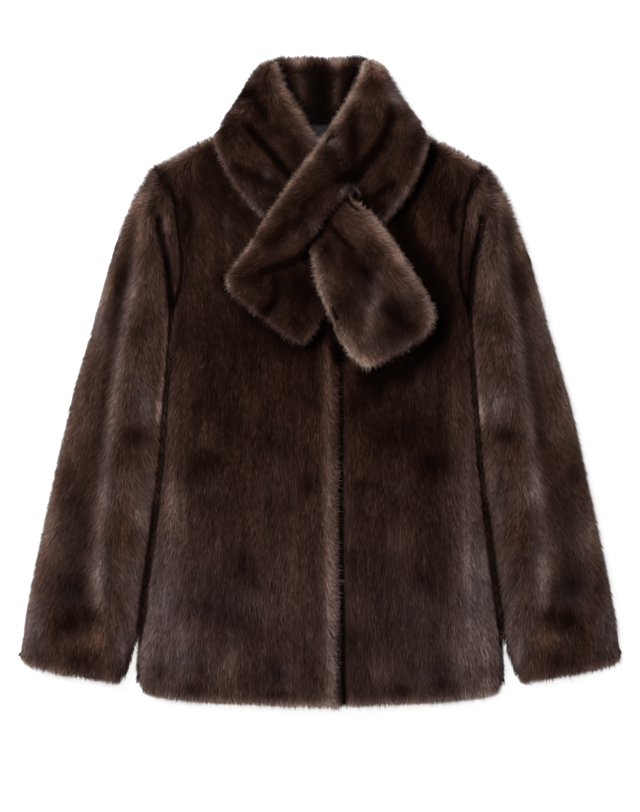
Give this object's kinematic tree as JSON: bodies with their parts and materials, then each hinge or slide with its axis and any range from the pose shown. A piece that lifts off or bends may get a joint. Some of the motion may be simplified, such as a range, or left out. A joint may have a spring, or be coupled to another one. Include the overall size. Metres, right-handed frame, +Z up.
{
  "type": "fur coat",
  "caption": "Short dark brown fur coat with long sleeves and lapped fronts, laid flat; its scarf collar crosses at the neck and one end comes out through a slit in the other band.",
  "frame": {"origin": "middle of the coat's bounding box, on the surface it lies on", "axes": "+Z up, out of the coat's front; +Y from hem to collar; +X towards the wearer's left sleeve, at the right of the picture"},
  "size_m": [0.7234, 0.7834, 0.0773],
  "materials": {
    "fur": "dense glossy dark brown fur",
    "satin_lining": "smooth dark grey satin"
  },
  "bodies": {
    "root": {"back_panel": "fur", "front_right": "fur", "front_left": "fur", "sleeve_right_under": "fur", "sleeve_right_top": "fur", "sleeve_left_under": "fur", "sleeve_left_top": "fur", "collar_back": "fur", "neck_lining": "satin_lining", "collar_strip_tail": "fur", "collar_band_slit": "fur"}
  },
  "joints": []
}
